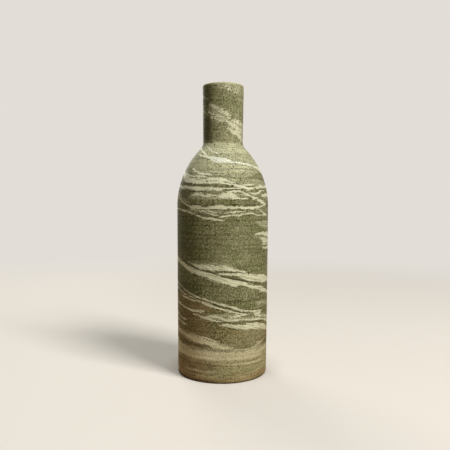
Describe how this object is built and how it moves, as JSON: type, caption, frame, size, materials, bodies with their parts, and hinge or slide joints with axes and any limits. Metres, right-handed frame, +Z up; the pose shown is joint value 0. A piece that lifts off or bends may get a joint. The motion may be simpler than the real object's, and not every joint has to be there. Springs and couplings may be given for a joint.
{
  "type": "ceramic bottle",
  "caption": "Tall round marbled stoneware bottle with a rounded shoulder, a short straight neck, an open mouth, a glassy liner and a turned foot ring.",
  "frame": {"origin": "on the bottle's axis, on the plane that the foot ring stands on", "axes": "+Z up along the axis, from the foot to the mouth; -Y is the side that the picture shows"},
  "size_m": [0.089, 0.089, 0.28],
  "materials": {
    "marbled_stoneware": "matt sage-green stoneware with cream clay veins and dark iron specks",
    "liner_glaze": "clear glossy glaze over the clay"
  },
  "bodies": {
    "root": {"bottle_body": "marbled_stoneware", "liner_glaze": "liner_glaze"}
  },
  "joints": []
}
